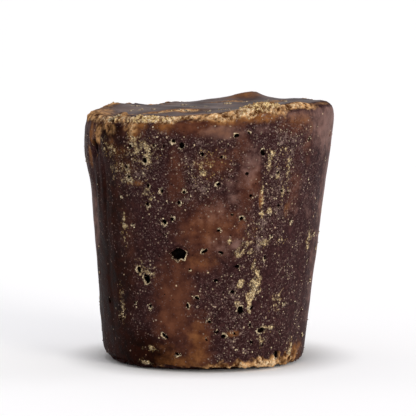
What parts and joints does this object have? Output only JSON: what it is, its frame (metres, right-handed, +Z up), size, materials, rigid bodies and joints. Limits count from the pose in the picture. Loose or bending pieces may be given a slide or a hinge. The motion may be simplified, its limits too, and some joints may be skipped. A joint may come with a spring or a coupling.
{
  "type": "jaggery block",
  "caption": "Block of dark unrefined cane sugar cast in a bucket and turned out, a tapered round mass with a pitted wall, a crusted brim and a sloping open top, standing on its flat narrow end.",
  "frame": {"origin": "centre of the flat foot that the block stands on", "axes": "+Z up, from the narrow foot to the wide open top; -Y towards the side seen from the front, where the open top's high end is at +X"},
  "size_m": [0.2248, 0.2211, 0.2354],
  "materials": {
    "jaggery": "dark maroon-brown boiled sugar, waxy and slightly translucent, with pale crystal specks and a tan crumbly crust at the brim"
  },
  "bodies": {
    "root": {"jaggery_block": "jaggery"}
  },
  "joints": []
}
